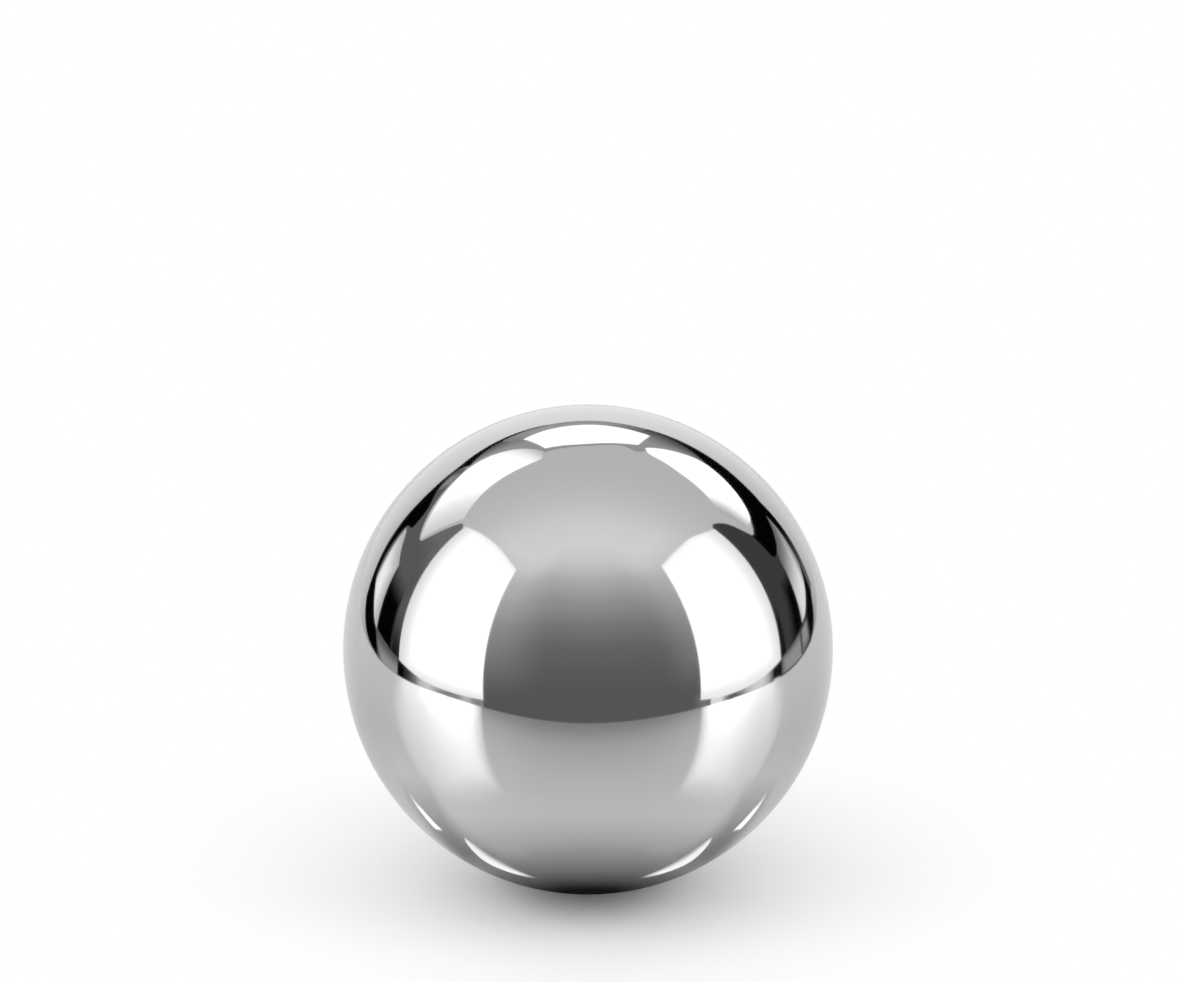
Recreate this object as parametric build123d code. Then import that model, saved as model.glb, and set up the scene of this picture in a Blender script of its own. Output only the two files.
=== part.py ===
from build123d import *
import os

# Driving dimensions, in millimetres
BALL_DIAMETER = 25.4

# A precision ball is forged from one slug of steel, hardened, ground and lapped,
# so it is one solid sphere with no seam, hole or flat.
# The frame's origin is the centre of the ball, which is the point that every
# raceway, seat or socket for a ball is dimensioned from.


def lapped_ball(diameter):
    """A full sphere about the origin: a half disc turned once round the Z axis."""
    radius = diameter / 2
    with BuildPart() as ball:
        with BuildSketch(Plane.XZ):
            with BuildLine():
                CenterArc((0, 0), radius, -90, 180)
                Line((0, radius), (0, -radius))
            make_face()
        revolve(axis=Axis.Z, revolution_arc=360)
    return ball.part


def write_step(solid, node):
    """Write one sub-part to its own file, which carries the node's name."""
    export_step(solid, os.path.join("parts", node + ".step"))


os.makedirs("parts", exist_ok=True)
write_step(lapped_ball(BALL_DIAMETER), "ball")
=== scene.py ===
import math

import bmesh
import bpy
from mathutils import Euler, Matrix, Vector


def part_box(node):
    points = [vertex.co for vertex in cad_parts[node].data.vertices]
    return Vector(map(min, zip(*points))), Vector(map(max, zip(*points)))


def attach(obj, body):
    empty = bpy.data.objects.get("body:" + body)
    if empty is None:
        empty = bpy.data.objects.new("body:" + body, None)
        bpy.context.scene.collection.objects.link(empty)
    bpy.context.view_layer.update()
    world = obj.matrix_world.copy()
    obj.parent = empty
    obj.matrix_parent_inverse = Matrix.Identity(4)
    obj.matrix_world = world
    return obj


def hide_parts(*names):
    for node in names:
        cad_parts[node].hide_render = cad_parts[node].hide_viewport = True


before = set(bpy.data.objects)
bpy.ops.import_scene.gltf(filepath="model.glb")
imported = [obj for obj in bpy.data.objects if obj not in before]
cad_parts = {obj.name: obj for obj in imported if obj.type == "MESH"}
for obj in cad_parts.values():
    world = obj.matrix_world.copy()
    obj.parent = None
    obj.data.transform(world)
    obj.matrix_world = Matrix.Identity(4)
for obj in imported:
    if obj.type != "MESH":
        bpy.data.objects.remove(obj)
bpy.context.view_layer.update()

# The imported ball, and its box before anything is dressed
BALL_LOW, BALL_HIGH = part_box("ball")
RADIUS = (BALL_HIGH.z - BALL_LOW.z) / 2
FLOOR_Z = BALL_LOW.z
# The frame's origin is the ball's centre
BALL_CENTRE = Vector((0, 0, 0))

# The photograph's frame, in its own pixels
PHOTO_WIDTH, PHOTO_HEIGHT = 1179, 982
BALL_PIXEL = (587.9, 649.1)
BALL_RADIUS_PIXELS = 244.8

# The camera: how far it looks down, and in ball radii its distance and how far it sees
CAMERA_DOWN_DEGREES = 20
CAMERA_DISTANCE = 19.5
FARTHEST_SEEN = 195
SENSOR_WIDTH_MM = 36

# The ball's mesh: a cube blown up to a sphere, with this many squares along a cube's edge
SQUARES_PER_EDGE = 64

# The steel: its grey as the record has it, how much the grey varies, and its polish
STEEL_GREY = 0.65
GREY_CHANGE = 0.008
SMOOTHEST, ROUGHEST = 0.04, 0.06
# Its cloudy polish: clouds to a ball radius, their detail, and where a cloud is thin and thick
CLOUDS, CLOUD_DETAIL = 1.6, 3.0
CLOUD_THIN, CLOUD_THICK = 0.3, 0.7
# Its lapped grain: grains to a radius, their detail, how much they show, and a radius over their height
GRAINS, GRAIN_DETAIL = 60, 4.0
GRAIN_STRENGTH = 0.02
RADIUS_OVER_GRAIN = 5000


def smoothstep(x):
    x = min(max(x, 0.0), 1.0)
    return x * x * (3 - 2 * x)


def direction(azimuth, elevation):
    """A unit vector. Azimuth 0 is towards the camera and 90 is to its right."""
    a = math.radians(azimuth)
    e = math.radians(elevation)
    return Vector((math.sin(a) * math.cos(e), -math.cos(a) * math.cos(e), math.sin(e)))


# Materials

def new_material(name):
    """An empty node material and its output."""
    material = bpy.data.materials.new(name)
    material.use_nodes = True
    nodes = material.node_tree.nodes
    nodes.clear()
    return material, nodes, material.node_tree.links, nodes.new("ShaderNodeOutputMaterial")


def blend(nodes, links, source, begins, ends, low, high):
    """A smooth change from low to high as the source goes from begins to ends."""
    node = nodes.new("ShaderNodeMapRange")
    node.interpolation_type = "SMOOTHSTEP"
    node.inputs["From Min"].default_value = begins
    node.inputs["From Max"].default_value = ends
    node.inputs["To Min"].default_value = low
    node.inputs["To Max"].default_value = high
    links.new(source, node.inputs["Value"])
    return node.outputs["Result"]


def combine(nodes, links, operation, first, second):
    """One number out of two."""
    node = nodes.new("ShaderNodeMath")
    node.operation = operation
    links.new(first, node.inputs[0])
    links.new(second, node.inputs[1])
    return node.outputs["Value"]


def multiply(nodes, links, first, second):
    return combine(nodes, links, "MULTIPLY", first, second)


def add(nodes, links, first, second):
    return combine(nodes, links, "ADD", first, second)


def light_ramp(nodes, links, source, stops):
    """A grey ramp through (position, brightness) stops."""
    reach = nodes.new("ShaderNodeMath")
    reach.operation = "DIVIDE"
    farthest = stops[-1][0]
    reach.inputs[1].default_value = farthest
    links.new(source, reach.inputs[0])
    node = nodes.new("ShaderNodeValToRGB")
    while len(node.color_ramp.elements) < len(stops):
        node.color_ramp.elements.new(1.0)
    for element, (position, light) in zip(node.color_ramp.elements, stops):
        element.position = position / farthest
        element.color = (light, light, light, 1)
    links.new(reach.outputs["Value"], node.inputs["Fac"])
    return node.outputs["Color"]


def mix_shaders(nodes, links, share, first, second):
    node = nodes.new("ShaderNodeMixShader")
    links.new(share, node.inputs["Fac"])
    links.new(first, node.inputs[1])
    links.new(second, node.inputs[2])
    return node.outputs["Shader"]


def dull(nodes):
    """A shader that gives back no light."""
    black = nodes.new("ShaderNodeBsdfDiffuse")
    black.inputs["Color"].default_value = (0, 0, 0, 1)
    return black.outputs["BSDF"]


def polished_steel():
    """Hardened steel lapped to a mirror: cloudy polish, and a grain too fine to see by eye."""
    material, nodes, links, output = new_material("polished_steel")
    steel = nodes.new("ShaderNodeBsdfPrincipled")
    steel.inputs["Metallic"].default_value = 1.0
    place = nodes.new("ShaderNodeTexCoord")

    cloud = nodes.new("ShaderNodeTexNoise")
    cloud.inputs["Scale"].default_value = CLOUDS / RADIUS
    cloud.inputs["Detail"].default_value = CLOUD_DETAIL
    links.new(place.outputs["Object"], cloud.inputs["Vector"])

    tint = nodes.new("ShaderNodeMapRange")
    tint.inputs["To Min"].default_value = STEEL_GREY - GREY_CHANGE
    tint.inputs["To Max"].default_value = STEEL_GREY + GREY_CHANGE
    links.new(cloud.outputs["Fac"], tint.inputs["Value"])
    links.new(tint.outputs["Result"], steel.inputs["Base Color"])

    polish = nodes.new("ShaderNodeMapRange")
    polish.inputs["From Min"].default_value = CLOUD_THIN
    polish.inputs["From Max"].default_value = CLOUD_THICK
    polish.inputs["To Min"].default_value = SMOOTHEST
    polish.inputs["To Max"].default_value = ROUGHEST
    links.new(cloud.outputs["Fac"], polish.inputs["Value"])
    links.new(polish.outputs["Result"], steel.inputs["Roughness"])

    grain = nodes.new("ShaderNodeTexNoise")
    grain.inputs["Scale"].default_value = GRAINS / RADIUS
    grain.inputs["Detail"].default_value = GRAIN_DETAIL
    links.new(place.outputs["Object"], grain.inputs["Vector"])
    bump = nodes.new("ShaderNodeBump")
    bump.inputs["Strength"].default_value = GRAIN_STRENGTH
    bump.inputs["Distance"].default_value = RADIUS / RADIUS_OVER_GRAIN
    links.new(grain.outputs["Fac"], bump.inputs["Height"])
    links.new(bump.outputs["Normal"], steel.inputs["Normal"])

    links.new(steel.outputs["BSDF"], output.inputs["Surface"])
    return material


# The ball

def ball_mesh():
    """A sphere of even squares, with normals that point straight out from its centre."""
    bm = bmesh.new()
    bmesh.ops.create_cube(bm, size=2.0)
    bmesh.ops.subdivide_edges(bm, edges=bm.edges[:], cuts=SQUARES_PER_EDGE - 1, use_grid_fill=True)
    for vertex in bm.verts:
        # Equal angles instead of equal steps, so that the squares stay even up to a cube's corner
        even = Vector([math.tan(c * math.pi / 4) for c in vertex.co])
        vertex.co = BALL_CENTRE + even.normalized() * RADIUS
    for face in bm.faces:
        face.smooth = True
    mesh = bpy.data.meshes.new("polished_ball")
    bm.to_mesh(mesh)
    bm.free()
    mesh.normals_split_custom_set_from_vertices([(v.co - BALL_CENTRE).normalized() for v in mesh.vertices])
    return mesh


def add_ball():
    ball = bpy.data.objects.new("polished_ball", ball_mesh())
    bpy.context.collection.objects.link(ball)
    ball.data.materials.append(polished_steel())
    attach(ball, "root")
    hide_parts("ball")


# The studio: cards and soft boxes, seen only in the ball and as light on the floor

def along(points, t):
    """The point at share t of a line through (azimuth, elevation) points, eased round its corners."""
    place = t * (len(points) - 1)
    k = min(int(place), len(points) - 2)
    f = place - k
    before = points[max(k - 1, 0)]
    start = points[k]
    end = points[k + 1]
    after = points[min(k + 2, len(points) - 1)]
    found = []
    for p0, p1, p2, p3 in zip(before, start, end, after):
        bend = (2 * p0 - 5 * p1 + 4 * p2 - p3) * f * f + (3 * p1 - p0 - 3 * p2 + p3) * f ** 3
        found.append(p1 + 0.5 * ((p2 - p0) * f + bend))
    return found


CARD_COLUMNS = 60
CARD_ROWS = 24
# How far away the first card hangs, and how much nearer each later one does, in ball radii
FARTHEST_CARD = 140
CARD_STEP = 1.5
# A card brighter than this is a lamp, and the floor's samples are aimed at it
LEAST_LAMP = 0.5
cards_hung = []


def light_at(level, fades, across, up):
    """The light of a card at a place on it. A fade is the light at that edge, and the width of
    the fade as a share of the card. Where fades meet, the one that changes the light most wins."""
    lights = [level]
    places = {"left": across, "right": 1 - across, "bottom": up, "top": 1 - up}
    for side, (edge_light, width) in fades.items():
        lights.append(edge_light + (level - edge_light) * smoothstep(places[side] / width))
    return max(lights, key=lambda light: abs(light - level))


def stage_card(name, place, lower, upper, level, fades, material):
    """A lit sheet between two edges. place() turns an edge's two numbers into a point."""
    vertices = []
    lights = []
    for row in range(CARD_ROWS + 1):
        up = row / CARD_ROWS
        for column in range(CARD_COLUMNS + 1):
            across = column / CARD_COLUMNS
            low = along(lower, across)
            high = along(upper, across)
            first = low[0] + (high[0] - low[0]) * up
            second = low[1] + (high[1] - low[1]) * up
            vertices.append(place(first, second))
            lights.append(light_at(level, fades, across, up))
    faces = []
    for row in range(CARD_ROWS):
        for column in range(CARD_COLUMNS):
            corner = row * (CARD_COLUMNS + 1) + column
            faces.append((corner, corner + 1, corner + CARD_COLUMNS + 2, corner + CARD_COLUMNS + 1))
    mesh = bpy.data.meshes.new(name)
    mesh.from_pydata(vertices, [], faces)
    mesh.attributes.new("light", "FLOAT", "POINT").data.foreach_set("value", lights)
    mesh.materials.append(material)
    card = bpy.data.objects.new(name, mesh)
    bpy.context.collection.objects.link(card)
    card.visible_camera = False
    return card


def hang_card(name, lower, upper, level, **fades):
    """A card whose edges are given by the directions in which the ball sees them, from left to
    right in azimuth. Each new card hangs in front of the last one."""
    distance = (FARTHEST_CARD - CARD_STEP * len(cards_hung)) * RADIUS
    material = glow if level > LEAST_LAMP else shade

    def place(azimuth, elevation):
        return BALL_CENTRE + direction(azimuth, elevation) * distance

    cards_hung.append(stage_card(name, place, lower, upper, level, fades, material))


def card_material(name, sampling):
    """Gives off the light that the card's vertices hold."""
    material, nodes, links, output = new_material(name)
    held = nodes.new("ShaderNodeAttribute")
    held.attribute_name = "light"
    emission = nodes.new("ShaderNodeEmission")
    links.new(held.outputs["Fac"], emission.inputs["Strength"])
    links.new(emission.outputs["Emission"], output.inputs["Surface"])
    material.cycles.emission_sampling = sampling
    return material


glow = card_material("soft_box", "FRONT_BACK")
shade = card_material("dark_card", "NONE")

# Brightness of the soft boxes, and of black cloth
SOFT_BOX = 4.4
SMALL_BOX = 1.75
BLACK = 0.001


def hang_backdrop():
    """The white board behind the ball, and the dark room beside it."""
    hang_card(
        "right_wall",
        [(98.5, -14), (170, -14)],
        [(104.8, 41), (107.5, 41.8), (110.5, 40.5), (114, 37), (116.3, 33), (118.3, 28), (120.5, 24),
         (130, 24), (148, 27), (168, 25)],
        0.06,
    )
    hang_card(
        "left_wall",
        [(195, -14), (263, -14)],
        [(205, 24), (212, 28.3), (220, 26.8), (230, 24.3), (240, 22.8), (243.5, 27), (247, 35), (250, 41),
         (254, 41.5)],
        0.14,
    )
    hang_card(
        "left_wall_top",
        [(242, 22), (259, 22)],
        [(248, 37), (250, 41), (254, 41.5)],
        0.2, bottom=(0.14, 0.6),
    )
    hang_card(
        "back_wall",
        [(148, 24), (160, 24), (180, 24), (195, 24), (212, 24)],
        [(150, 28), (157, 40), (160, 48), (167, 47), (180, 50.5), (195, 50), (199, 49), (204, 40),
         (212, 30)],
        0.42, bottom=(0.09, 0.62),
    )
    hang_card(
        "lit_wall",
        [(168, 24.4), (199, 24.4)],
        [(168, 31.5), (199, 34)],
        0.46, bottom=(0.3, 0.5), left=(0.2, 0.4), right=(0.3, 0.3),
    )
    hang_card(
        "white_board",
        [(124, -16), (247, -16)],
        [(126, -11), (136, -7), (140, 0), (141.5, 6), (144.5, 12.5), (150, 17.5), (157, 21), (163, 23.5),
         (170, 25), (180, 25.3), (191, 25.2), (197, 24.2), (209, 22.9), (213, 20.2), (217, 16), (220.5, 5),
         (223.5, -1), (232, -7.5), (247, -10.4)],
        0.98, left=(0.42, 0.5), right=(0.48, 0.5),
    )


def hang_right_side():
    """What stands beyond the right soft box."""
    hang_card(
        "right_black_edge",
        [(99.8, -6.4), (105, -6)],
        [(102.8, 11), (105.3, 14)],
        BLACK, top=(0.06, 0.6), right=(0.05, 0.5),
    )
    hang_card(
        "right_black_shade",
        [(108, -5.8), (121, -4.4)],
        [(114, 9.5), (123.5, 9)],
        BLACK, left=(0.055, 0.6), top=(0.04, 0.3),
    )
    hang_card(
        "right_window",
        [(121, -4.4), (126, -4), (130, -2.8), (134, -1.5), (138, 1)],
        [(124, 11.5), (127, 13), (131, 12.8), (135, 12.8), (140, 14)],
        1.05, top=(0.19, 0.85), right=(0.33, 0.4), left=(0.7, 0.2),
    )
    hang_card(
        "right_band",
        [(120.5, 16), (123, 13.6), (130, 12.6), (140, 13.6), (144.5, 12.6), (149, 16.3), (156, 20),
         (162, 22.4), (168, 24.4)],
        [(119.5, 25), (123, 23), (130, 23), (140, 24.6), (150, 27), (156, 25.8), (162, 25.5), (166, 25.3),
         (169, 25.2)],
        BLACK, right=(0.09, 0.35),
    )
    hang_card(
        "right_post",
        [(138, -5.5), (141.5, -5)],
        [(139.5, 14), (145, 14)],
        BLACK, bottom=(0.15, 0.7),
    )
    hang_card(
        "right_curve",
        [(116, -11), (124, -10.9), (130, -9.8), (134, -8.2), (138.3, -5)],
        [(116, -5.3), (124, -5), (130, -3.1), (134, -1.8), (137.8, 0.8)],
        BLACK, left=(0.15, 0.45),
    )
    hang_card(
        "right_patch",
        [(118.5, -10.6), (126.5, -9.6)],
        [(119.5, -5.6), (127, -5.2)],
        0.4, right=(0.04, 0.5), bottom=(0.2, 0.5),
    )
    hang_card(
        "right_strip",
        [(99.8, -11.4), (116.5, -11)],
        [(99.8, -6.6), (108, -5.9), (116.5, -5.2)],
        0.4, top=(0.2, 0.4), left=(0.08, 0.3),
    )
    hang_card(
        "right_corner",
        [(93, -11.2), (99.9, -11.5)],
        [(93, -8), (99.9, -6.2)],
        BLACK, left=(0.1, 0.3),
    )


def hang_left_side():
    """What stands beyond the left soft box."""
    hang_card(
        "left_dark_edge",
        [(254, -5), (264, -5.8)],
        [(251, 30), (257.5, 30)],
        0.13, bottom=(0.013, 0.4), top=(0.185, 0.4),
    )
    hang_card(
        "left_black",
        [(242.8, -4), (257, -5)],
        [(239.8, 15), (253.4, 15.5)],
        BLACK, top=(0.14, 0.45), right=(0.06, 0.2),
    )
    hang_card(
        "left_band",
        [(224.8, -4), (222.6, 2), (221, 8), (218.6, 13), (215.8, 17.6), (212.6, 20.6), (209, 22.9)],
        [(227, 1.2), (225, 7), (225.2, 14.5), (229.5, 18), (226, 22.8), (215, 22.2), (210.5, 26)],
        BLACK, right=(0.09, 0.2),
    )
    hang_card(
        "left_patch",
        [(213, 24.2), (219, 22.4)],
        [(213, 27.6), (219, 26.4)],
        0.36, left=(0.15, 0.4), right=(0.18, 0.4),
    )
    hang_card(
        "centre_band",
        [(188, 24.9), (196, 23.9), (203, 23.3), (211, 22.6)],
        [(188, 25.3), (196, 25.8), (203, 26.4), (211, 28.5)],
        BLACK, left=(0.12, 0.3),
    )
    hang_card(
        "left_window",
        [(227.6, 1.2), (231.5, -0.6), (236, -2.6), (242.5, -4.6)],
        [(225.4, 14.2), (229, 15), (235, 13.8), (240, 12.8)],
        1.25, top=(0.68, 0.6), right=(0.64, 0.5), left=(0.35, 0.3), bottom=(0.75, 0.15),
    )
    hang_card(
        "left_curve",
        [(224.6, -4.2), (230, -7.2), (238, -9.3), (247.5, -9.9)],
        [(226, 2), (231, 0.1), (236, -2.2), (240.5, -4.3), (247.5, -5.9)],
        BLACK,
    )
    hang_card(
        "left_strip",
        [(247, -10.4), (262.4, -10.9)],
        [(242, -4.3), (252, -5.2), (262.4, -5.7)],
        0.42, top=(0.13, 0.8), left=(0.12, 0.35),
    )
    hang_card("left_corner", [(262.3, -11), (266.5, -10.8)], [(262.3, -5.6), (266.5, -6.2)], BLACK)


# Brightness of what shows in the gap under each of the two large boxes, at azimuths
RIGHT_GAP = [
    (49, 0.16), (54, 0.24), (57.2, 0.22), (57.6, 1.05), (63, 1.05), (65, 0.45), (67.5, 0.14),
    (71, 0.13), (74, 0.34), (78, 0.7), (82, 0.92), (87, 0.92), (90, 0.66), (94, 0.1),
]
LEFT_GAP = [
    (266, 0.005), (270, 0.06), (274, 0.24), (278, 0.72), (282, 0.84), (286, 0.62), (290, 0.36), (294, 0.28),
    (298, 0.33), (300, 0.45), (303, 0.68), (305, 0.62), (306.5, 0.38), (309, 0.33), (312, 0.34),
]
GAP_LOW, GAP_HIGH = -13, -6.5


def hang_gap(name, stops):
    """A row of cards, each of which fades to the brightness of the next one. They are taller than
    the gap: the box hangs in front of them, and the sheet hides their lower part."""
    for (start, level), (end, next_level) in zip(stops, stops[1:]):
        lower = [(start, GAP_LOW), (end, GAP_LOW)]
        upper = [(start, GAP_HIGH), (end, GAP_HIGH)]
        hang_card(name + "_" + str(start), lower, upper, level, right=(next_level, 1))


def hang_soft_boxes():
    """Two large boxes beside the camera, and three smaller ones high behind the ball."""
    hang_card(
        "right_crescent",
        [(121, 28), (124.5, 25.3), (130, 23.7), (140, 25), (150, 28.2), (154.5, 34), (159.5, 42)],
        [(120, 38.5), (125, 40.3), (130, 42), (140, 45.3), (150, 46.3), (156, 46.2), (159.8, 43.5)],
        SMALL_BOX, left=(0.6, 0.4),
    )
    hang_card(
        "left_crescent",
        [(198.5, 49), (203, 39), (210, 31), (220, 28.4), (230, 26.2), (240.5, 23.1)],
        [(199.5, 50.5), (203.5, 54), (212, 53.3), (220, 51.3), (234, 46.8), (248, 42)],
        SMALL_BOX, left=(0.72, 0.45), right=(0.95, 0.35),
    )
    hang_card(
        "centre_box",
        [(164.8, 31.2), (172, 30.9), (180, 30.6), (190, 31.5), (197, 33.5)],
        [(162.8, 43), (169, 46), (176, 48.3), (183, 49.3), (190, 48.6), (196.8, 47.4)],
        SMALL_BOX,
    )
    hang_card(
        "right_soft_box",
        [(52, -8.9), (64, -9.7), (76, -9.5), (88, -8.4), (99.5, -6.7)],
        [(54.3, 50), (66, 51.2), (78, 50.9), (90, 48.8), (105.8, 41.3)],
        SOFT_BOX, left=(1.6, 0.15), right=(1.15, 0.75), bottom=(1.25, 0.4), top=(1.35, 0.25),
    )
    hang_card(
        "left_soft_box",
        [(263.3, -5.8), (271.4, -6.95), (279.5, -7.95), (287.6, -8.35), (295.8, -8.35), (303.9, -8.25),
         (312, -8.05)],
        [(254.4, 43), (266, 48.2), (280, 51.2), (294, 51.4), (308.5, 49)],
        SOFT_BOX, left=(1.1, 0.75), right=(1.6, 0.15), bottom=(1.25, 0.3), top=(1.35, 0.25),
    )


# The tabletop, a glossy white sheet

# How far it reaches from the foot, in ball radii. Its front is a superellipse, squarer on the left
SHEET_LEFT, SHEET_RIGHT = 6.5, 5.9
SHEET_FRONT, SHEET_BACK = 5.1, 20
SQUARENESS_LEFT, SQUARENESS_RIGHT = 3.0, 2.45
SHEET_STEPS = 64


def sheet_outline():
    """The sheet's corners in order: two at the back, then its front from left to right."""
    points = [(SHEET_RIGHT, SHEET_BACK), (-SHEET_LEFT, SHEET_BACK)]
    for step in range(SHEET_STEPS + 1):
        angle = math.pi * (1 + step / SHEET_STEPS)
        across = math.cos(angle)
        forward = -math.sin(angle)
        half = SHEET_LEFT if across < 0 else SHEET_RIGHT
        squareness = SQUARENESS_LEFT if across < 0 else SQUARENESS_RIGHT
        x = math.copysign(abs(across) ** (2 / squareness), across) * half
        points.append((x, -max(forward, 0) ** (2 / squareness) * SHEET_FRONT))
    return points


# What the camera sees of the sheet is nearly white and keeps the shadow. Past these distances from the
# foot, in radii, it turns into the plain white of the background, and on the way that white glow is painted
# light that lightens the shadow's outer part.
WHITE_BEGINS, WHITE_ENDS = 0.3, 2.1
# The share of white glow mixed in even at the foot, painted light that lightens the whole shadow
LEAST_WHITE_GLOW = 0.04
SHEET_COLOUR_SEEN = 0.98
# What the ball sees of it is grey, with painted shade that darkens it towards the front edge and painted
# light that makes it lighter behind the ball. Each fade runs between two places along Y, in radii, and the
# camera is on the side of minus Y.
SHADED_GREY_FRONT, GREY_MIDDLE, LIT_GREY_BACK = 0.3, 0.69, 0.88
FRONT_SHADE_FADE = (-5.0, -1.5)
BACK_FADE = (-1.2, -0.4)
# Its gloss is weaker behind the ball, and dies away towards the foot as painted shade under the ball
GLOSS_FRONT, GLOSS_BACK = 0.88, 0.09
GLOSS_BACK_FADE = (-0.6, 0.3)
GLOSS_FOOT_SHADE_STOPS = [(0.7, 0.0), (1.0, 0.2), (1.3, 0.42), (1.8, 0.52), (2.4, 0.64), (3.6, 0.8), (5.0, 1.0)]
SHEET_GLOSS_IOR = 3.8
SHEET_ROUGHNESS = 0.1
# Painted shade under the ball: the Y of the painted dark spot's middle, and the share of the grey left, by
# distance from that middle, both in radii
PAINTED_SHADE_SPOT = -0.3
PAINTED_FOOT_SHADE_STOPS = [
    (0.1, 0.04), (0.15, 0.08), (0.2, 0.16), (0.25, 0.24), (0.3, 0.31), (0.35, 0.39), (0.4, 0.46),
    (0.5, 0.6), (0.65, 0.78), (0.8, 0.9), (0.95, 0.95), (1.3, 0.89), (1.7, 0.84), (2.2, 0.8),
]


def seen_by_camera(nodes, links, from_foot):
    """Matt and nearly white, so that the shadow shows, and plain white farther out. The white is a glow
    mixed in by distance from the foot, painted light that lightens the shadow.
    """
    matt = nodes.new("ShaderNodeBsdfDiffuse")
    matt.inputs["Color"].default_value = (SHEET_COLOUR_SEEN,) * 3 + (1,)
    white = nodes.new("ShaderNodeEmission")
    share = blend(nodes, links, from_foot, WHITE_BEGINS, WHITE_ENDS, LEAST_WHITE_GLOW, 1)
    return mix_shaders(nodes, links, share, matt.outputs["BSDF"], white.outputs["Emission"])


def seen_by_ball(nodes, links, in_radii, from_foot):
    """Grey and glossy, with painted shade under the ball and towards the front edge and painted light
    behind it. Its gloss mirrors the soft boxes, and is painted dark towards the foot.
    """
    axes = nodes.new("ShaderNodeSeparateXYZ")
    links.new(in_radii, axes.inputs["Vector"])
    back = axes.outputs["Y"]
    from_spot = nodes.new("ShaderNodeVectorMath")
    from_spot.operation = "DISTANCE"
    from_spot.inputs[1].default_value = (0, PAINTED_SHADE_SPOT, 0)
    links.new(in_radii, from_spot.inputs[0])
    # Painted shade under the ball, darkest at the painted dark spot
    foot = light_ramp(nodes, links, from_spot.outputs["Value"], PAINTED_FOOT_SHADE_STOPS)
    # Painted shade towards the front edge, and painted light behind the ball
    front_painted_shade = blend(nodes, links, back, *FRONT_SHADE_FADE, SHADED_GREY_FRONT, GREY_MIDDLE)
    back_painted_light = blend(nodes, links, back, *BACK_FADE, 1, LIT_GREY_BACK / GREY_MIDDLE)
    grey = nodes.new("ShaderNodeBsdfDiffuse")
    colour = multiply(nodes, links, multiply(nodes, links, front_painted_shade, back_painted_light), foot)
    links.new(colour, grey.inputs["Color"])

    gloss = nodes.new("ShaderNodeBsdfGlossy")
    gloss.inputs["Roughness"].default_value = SHEET_ROUGHNESS
    gloss_back = blend(nodes, links, back, *GLOSS_BACK_FADE, GLOSS_FRONT, GLOSS_BACK)
    # Painted shade: the gloss darkens towards the foot
    gloss_foot_shade = light_ramp(nodes, links, from_foot, GLOSS_FOOT_SHADE_STOPS)
    links.new(multiply(nodes, links, gloss_back, gloss_foot_shade), gloss.inputs["Color"])
    fresnel = nodes.new("ShaderNodeFresnel")
    fresnel.inputs["IOR"].default_value = SHEET_GLOSS_IOR
    polish = mix_shaders(nodes, links, fresnel.outputs["Fac"], dull(nodes), gloss.outputs["BSDF"])
    both = nodes.new("ShaderNodeAddShader")
    links.new(grey.outputs["BSDF"], both.inputs[0])
    links.new(polish, both.inputs[1])
    return both.outputs["Shader"]


def sheet_material():
    material, nodes, links, output = new_material("white_sheet")
    place = nodes.new("ShaderNodeNewGeometry")
    in_radii = nodes.new("ShaderNodeVectorMath")
    in_radii.operation = "MULTIPLY"
    in_radii.inputs[1].default_value = (1 / RADIUS, 1 / RADIUS, 0)
    links.new(place.outputs["Position"], in_radii.inputs[0])
    on_sheet = in_radii.outputs["Vector"]
    distance = nodes.new("ShaderNodeVectorMath")
    distance.operation = "LENGTH"
    links.new(on_sheet, distance.inputs[0])
    from_foot = distance.outputs["Value"]

    to_camera = seen_by_camera(nodes, links, from_foot)
    to_ball = seen_by_ball(nodes, links, on_sheet, from_foot)
    rays = nodes.new("ShaderNodeLightPath")
    either = mix_shaders(nodes, links, rays.outputs["Is Camera Ray"], to_ball, to_camera)
    links.new(either, output.inputs["Surface"])
    return material


def lay_sheet():
    mesh = bpy.data.meshes.new("white_sheet")
    vertices = [(x * RADIUS, y * RADIUS, FLOOR_Z) for x, y in sheet_outline()]
    mesh.from_pydata(vertices, [], [range(len(vertices))])
    mesh.materials.append(sheet_material())
    sheet = bpy.data.objects.new("white_sheet", mesh)
    bpy.context.collection.objects.link(sheet)


# Painted glints: glowing cards on the sheet, two on each side, put bright slivers on the ball's lower rim

# How far above the sheet the painted glints lie, and the painted shade patch round each pair, in ball radii
GLINT_CARD_LIFT, PAINTED_SHADE_LIFT = 0.004, 0.002
# The painted glints' brightness, and how much of the sheet's light the painted shade patch takes away
OUTER_GLINT_GLOW = 1.45
INNER_GLINT_GLOW = 1.3
PAINTED_SHADE_SHARE = 0.46


def glint_glow_material(name, level):
    """Glows in the mirror of the ball alone, though it is no lamp, and fades out at its edges: a painted
    glint, or with no light a painted shade.
    """
    material, nodes, links, output = new_material(name)
    held = nodes.new("ShaderNodeAttribute")
    held.attribute_name = "light"
    clear = nodes.new("ShaderNodeBsdfTransparent")
    emission = nodes.new("ShaderNodeEmission")
    emission.inputs["Strength"].default_value = level
    cover = held.outputs["Fac"]
    shine = mix_shaders(nodes, links, cover, clear.outputs["BSDF"], emission.outputs["Emission"])
    links.new(shine, output.inputs["Surface"])
    material.cycles.emission_sampling = "NONE"
    return material


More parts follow.
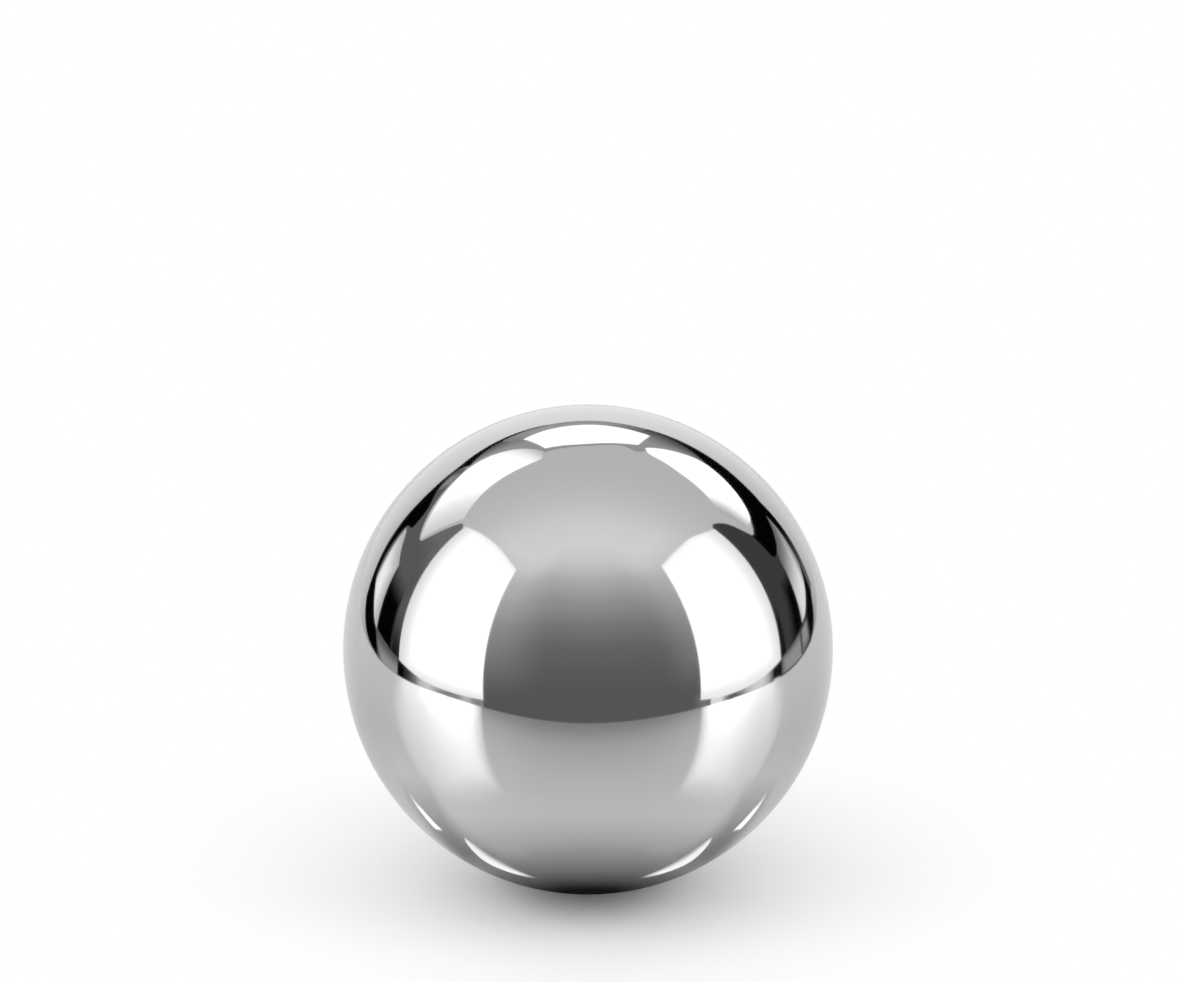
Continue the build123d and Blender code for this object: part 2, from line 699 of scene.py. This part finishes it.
def lay_glint_card(name, lower, upper, level, side, share=1, lift=GLINT_CARD_LIFT, **fades):
    """One painted glint or painted shade card, its edges in ball radii from the foot. Side is 1 on the
    right and -1 on the left, and share is how much of the sheet's image it covers."""

    def place(x, y):
        return Vector((side * x * RADIUS, y * RADIUS, FLOOR_Z + lift * RADIUS))

    card = stage_card(name, place, lower, upper, share, fades, glint_glow_material(name, level))
    card.visible_diffuse = False
    card.visible_shadow = False
    card.visible_transmission = False


def lay_glint_cards():
    for side, word in ((1, "right"), (-1, "left")):
        # Painted shade: a dark card that takes away part of the sheet's image round each pair of glints
        lay_glint_card(
            word + "_painted_shade_patch",
            [(0.45, -0.62), (1.5, -0.62)],
            [(0.45, 0.12), (1.5, 0.12)],
            0, side, share=PAINTED_SHADE_SHARE, lift=PAINTED_SHADE_LIFT,
            left=(0, 0.25), right=(0, 0.8), bottom=(0, 0.45), top=(0, 0.5),
        )
        # Two painted glints, bright slivers on the ball's lower rim
        lay_glint_card(
            word + "_outer_painted_glint",
            [(0.81, -0.27), (0.9, -0.235), (1.0, -0.2), (1.12, -0.14), (1.27, -0.09)],
            [(0.83, -0.15), (0.9, -0.125), (1.0, -0.105), (1.12, -0.085), (1.27, -0.08)],
            OUTER_GLINT_GLOW, side, right=(0, 0.5), top=(0, 0.25), left=(0, 0.12),
        )
        lay_glint_card(
            word + "_inner_painted_glint",
            [(0.24, -0.47), (0.36, -0.49), (0.5, -0.5), (0.62, -0.49), (0.73, -0.46)],
            [(0.24, -0.46), (0.37, -0.4), (0.5, -0.355), (0.62, -0.385), (0.73, -0.45)],
            INNER_GLINT_GLOW, side, bottom=(0, 0.6), left=(0, 0.25), right=(0, 0.15),
        )


# The world: plain white for the camera, and for the rest a dim room that is pale overhead

# Brightness of the room behind the camera, by the sine of the elevation
ROOM_STOPS = [
    (0.0, 0.135), (0.17, 0.155), (0.34, 0.185), (0.5, 0.27), (0.66, 0.42), (0.78, 0.61), (0.87, 0.86),
    (0.94, 0.95), (1.0, 0.93),
]
# It brightens sooner beside the two large boxes, by this much on the left and on the right
SOONER_LEFT, SOONER_RIGHT = 0.1, 0.07
SIDE_BEGINS, SIDE_ENDS = math.radians(20), math.radians(50)
# Below the tops of those boxes it glows beside them: how much, and between which azimuths
GLOW_LEFT, GLOW_LEFT_FADE = 0.13, (math.radians(-50), math.radians(-15))
GLOW_RIGHT, GLOW_RIGHT_FADE = 0.11, (math.radians(33), math.radians(53))
# The sines of the elevations between which the glow ends above and begins below
GLOW_TOP_FADE = (0.55, 0.8)
GLOW_BOTTOM_FADE = (-0.15, 0.3)
# Brightness overhead, from the front of the room to its back, and the fade along a direction's Y
OVERHEAD_FRONT, OVERHEAD_BACK = 0.91, 0.68
OVERHEAD_FADE = (-0.5, 0.5)
# Where, along Y too, the room behind the camera gives way to what lies overhead
BEHIND_FADE = (-0.35, 0.1)


def light_room():
    world = bpy.data.worlds.new("room")
    bpy.context.scene.world = world
    world.use_nodes = True
    nodes = world.node_tree.nodes
    links = world.node_tree.links
    nodes.clear()
    output = nodes.new("ShaderNodeOutputWorld")
    place = nodes.new("ShaderNodeTexCoord")
    axes = nodes.new("ShaderNodeSeparateXYZ")
    links.new(place.outputs["Generated"], axes.inputs["Vector"])

    forward = nodes.new("ShaderNodeMath")
    forward.operation = "MULTIPLY"
    forward.inputs[1].default_value = -1
    links.new(axes.outputs["Y"], forward.inputs[0])
    azimuth = nodes.new("ShaderNodeMath")
    azimuth.operation = "ARCTAN2"
    links.new(axes.outputs["X"], azimuth.inputs[0])
    links.new(forward.outputs["Value"], azimuth.inputs[1])
    sooner_right = blend(nodes, links, azimuth.outputs["Value"], SIDE_BEGINS, SIDE_ENDS, 0, SOONER_RIGHT)
    sooner_left = blend(nodes, links, azimuth.outputs["Value"], -SIDE_ENDS, -SIDE_BEGINS, SOONER_LEFT, 0)
    height = add(nodes, links, axes.outputs["Z"], add(nodes, links, sooner_left, sooner_right))
    glow_left = blend(nodes, links, azimuth.outputs["Value"], *GLOW_LEFT_FADE, GLOW_LEFT, 0)
    glow_right = blend(nodes, links, azimuth.outputs["Value"], *GLOW_RIGHT_FADE, 0, GLOW_RIGHT)
    below_tops = blend(nodes, links, axes.outputs["Z"], *GLOW_TOP_FADE, 1, 0)
    above_floor = blend(nodes, links, axes.outputs["Z"], *GLOW_BOTTOM_FADE, 0, 1)
    glow_height = multiply(nodes, links, below_tops, above_floor)
    glow_beside = multiply(nodes, links, add(nodes, links, glow_left, glow_right), glow_height)
    front = add(nodes, links, light_ramp(nodes, links, height, ROOM_STOPS), glow_beside)

    overhead = blend(nodes, links, axes.outputs["Y"], *OVERHEAD_FADE, OVERHEAD_FRONT, OVERHEAD_BACK)
    behind = blend(nodes, links, axes.outputs["Y"], *BEHIND_FADE, 0, 1)
    both = nodes.new("ShaderNodeMix")
    both.data_type = "RGBA"
    links.new(behind, both.inputs["Factor"])
    links.new(front, both.inputs["A"])
    links.new(overhead, both.inputs["B"])
    room = nodes.new("ShaderNodeBackground")
    links.new(both.outputs["Result"], room.inputs["Color"])

    white = nodes.new("ShaderNodeBackground")
    white.inputs["Color"].default_value = (1, 1, 1, 1)
    rays = nodes.new("ShaderNodeLightPath")
    to_camera = rays.outputs["Is Camera Ray"]
    either = mix_shaders(nodes, links, to_camera, room.outputs["Background"], white.outputs["Background"])
    links.new(either, output.inputs["Surface"])


# The camera

def add_camera():
    """Looks at the ball so that it has the photograph's place and size in the frame."""
    focal_pixels = BALL_RADIUS_PIXELS * math.sqrt(CAMERA_DISTANCE ** 2 - 1)
    data = bpy.data.cameras.new("camera")
    data.sensor_width = SENSOR_WIDTH_MM
    data.lens = focal_pixels / PHOTO_WIDTH * SENSOR_WIDTH_MM
    data.clip_start = RADIUS
    data.clip_end = FARTHEST_SEEN * RADIUS
    camera = bpy.data.objects.new("camera", data)
    bpy.context.collection.objects.link(camera)
    camera.location = BALL_CENTRE + direction(0, CAMERA_DOWN_DEGREES) * CAMERA_DISTANCE * RADIUS
    below_middle = math.atan((BALL_PIXEL[1] - PHOTO_HEIGHT / 2) / focal_pixels)
    left_of_middle = math.atan((PHOTO_WIDTH / 2 - BALL_PIXEL[0]) / focal_pixels)
    down = math.radians(CAMERA_DOWN_DEGREES)
    camera.rotation_euler = Euler((math.pi / 2 - down + below_middle, 0, -left_of_middle))
    bpy.context.scene.camera = camera
    bpy.context.scene.view_settings.view_transform = "Standard"


add_camera()
light_room()
lay_sheet()
lay_glint_cards()
hang_backdrop()
hang_right_side()
hang_left_side()
hang_gap("right_gap", RIGHT_GAP)
hang_gap("left_gap", LEFT_GAP)
hang_soft_boxes()
add_ball()
